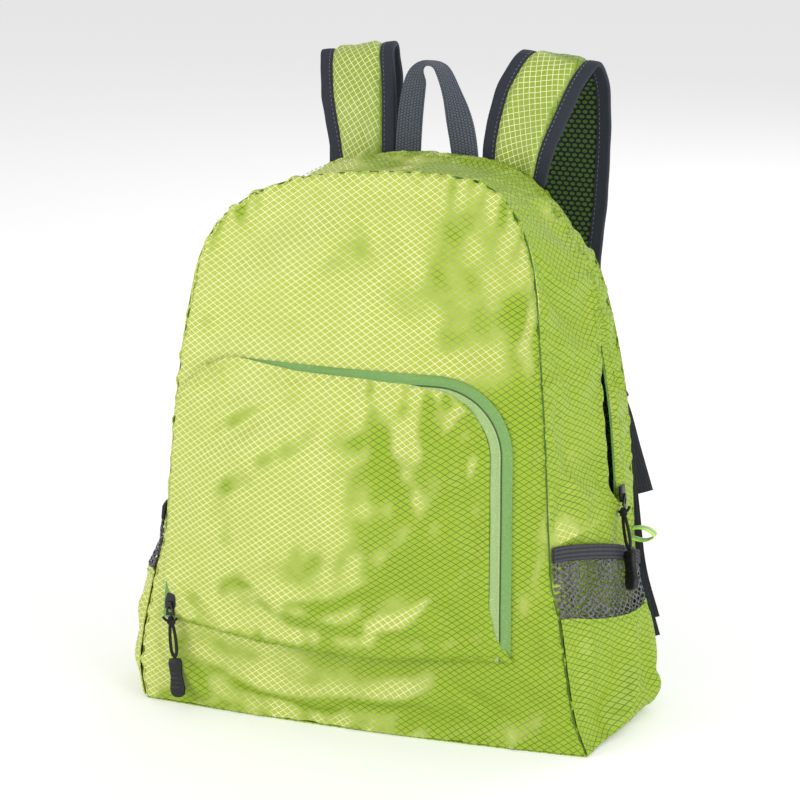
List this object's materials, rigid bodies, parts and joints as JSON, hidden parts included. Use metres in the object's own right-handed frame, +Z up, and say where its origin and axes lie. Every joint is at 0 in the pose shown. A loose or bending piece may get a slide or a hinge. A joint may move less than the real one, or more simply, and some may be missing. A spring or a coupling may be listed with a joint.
{
  "type": "packable backpack",
  "caption": "Soft packable backpack in ripstop cloth with a zip over the top, a zipped front pocket, mesh-topped side pockets, padded shoulder straps and a haul loop.",
  "frame": {"origin": "middle of the flat underside of the base", "axes": "+X to the right seen from the front, +Y to the wearer's back, +Z up"},
  "size_m": [0.3453, 0.2379, 0.4252],
  "materials": {
    "ripstop": "thin lime green nylon with a pale diamond ripstop grid",
    "zip_tape": "soft green woven zip tape with a fine moulded coil",
    "slate_fabric": "dark slate woven edging, stitched",
    "mesh": "open grey knitted mesh",
    "elastic": "ribbed dark grey woven elastic",
    "webbing": "black woven webbing",
    "plastic": "black moulded plastic, fine grain",
    "reflective": "neon ribbon with a grey reflective stripe",
    "pull_metal": "black coated zip slider",
    "cord": "braided black cord",
    "grip": "soft matt black moulded grip"
  },
  "bodies": {
    "root": {"bottom_panel": "ripstop", "front_panel": "ripstop", "back_panel": "ripstop", "side_panel_left": "ripstop", "side_panel_right": "ripstop", "gusset_front": "ripstop", "gusset_back": "ripstop", "main_zip_tape": "zip_tape", "main_zip_coil": "zip_tape", "front_pocket_zip_tape": "zip_tape", "front_pocket_zip_coil": "zip_tape", "front_pocket_panel": "ripstop", "side_pocket_left": "ripstop", "side_pocket_mesh_left": "mesh", "side_pocket_band_left": "elastic", "side_pocket_right": "ripstop", "side_pocket_mesh_right": "mesh", "side_pocket_band_right": "elastic", "strap_pad_left": "ripstop", "strap_mesh_left": "mesh", "strap_binding_outer_left": "slate_fabric", "strap_binding_inner_left": "slate_fabric", "strap_pad_right": "ripstop", "strap_mesh_right": "mesh", "strap_binding_inner_right": "slate_fabric", "strap_binding_outer_right": "slate_fabric", "ladder_lock_left": "plastic", "strap_anchor_tab_left": "slate_fabric", "strap_webbing_left": "webbing", "ladder_lock_right": "plastic", "strap_anchor_tab_right": "slate_fabric", "strap_webbing_right": "webbing", "haul_loop": "webbing", "front_pocket_pull_slider": "pull_metal", "front_pocket_pull_tab": "pull_metal", "front_pocket_pull_knot": "cord", "front_pocket_pull_cord": "cord", "front_pocket_pull_grip": "grip", "main_zip_pull_slider": "pull_metal", "main_zip_pull_tab": "pull_metal", "main_zip_pull_knot": "cord", "main_zip_pull_cord": "cord", "main_zip_pull_grip": "grip", "reflective_loop": "reflective"}
  },
  "joints": []
}
